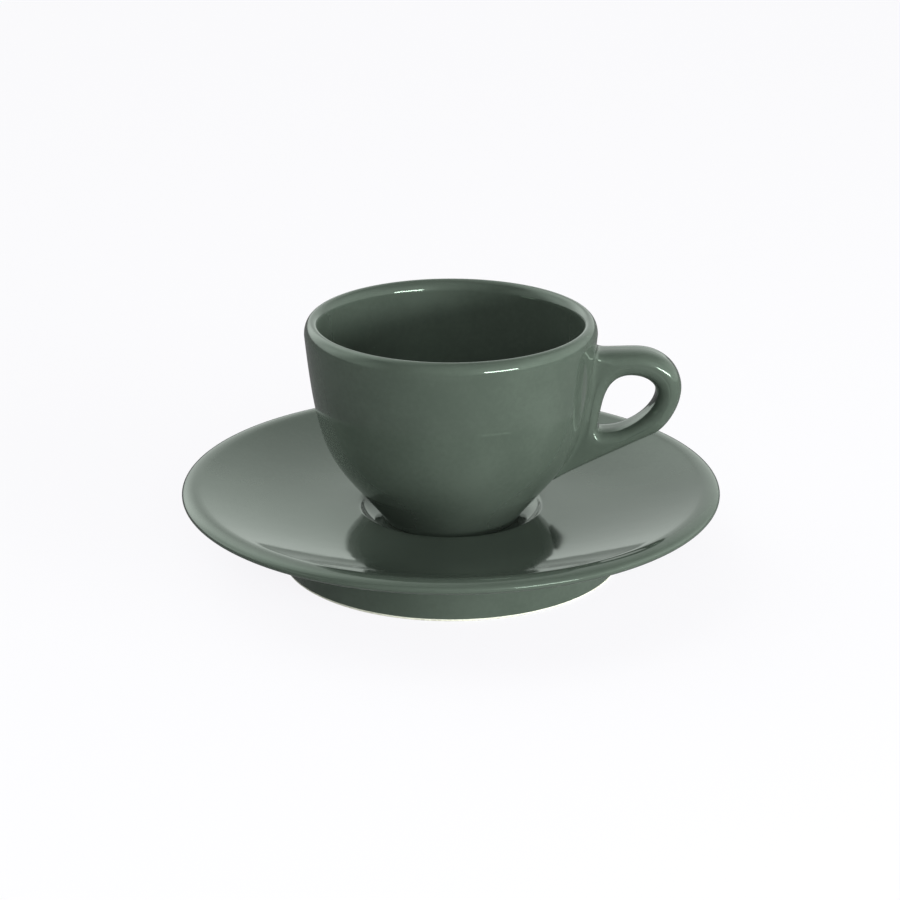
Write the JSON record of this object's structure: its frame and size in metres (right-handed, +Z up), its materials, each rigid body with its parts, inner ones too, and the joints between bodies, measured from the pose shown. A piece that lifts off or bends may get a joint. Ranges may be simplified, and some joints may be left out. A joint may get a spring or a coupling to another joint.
{
  "type": "espresso cup and saucer",
  "caption": "Thick-walled espresso cup with a closed-loop handle, standing in the well of a round saucer with a tall foot ring, in dark glossy glaze.",
  "frame": {"origin": "middle of the saucer's foot ring, on the plane that it stands on", "axes": "+Z up along the shared axis of cup and saucer, +X towards the handle"},
  "size_m": [0.12, 0.12, 0.0557],
  "materials": {
    "saucer_glaze": "gloss",
    "cup_glaze": "gloss"
  },
  "bodies": {
    "saucer": {"saucer": "saucer_glaze"},
    "cup": {"cup_body": "cup_glaze", "cup_handle": "cup_glaze"}
  },
  "joints": [
    {"name": "cup_lift", "type": "slide", "parent": "saucer", "child": "cup", "axis": [0, 0, 1], "range_m": [0, 0.1]}
  ]
}
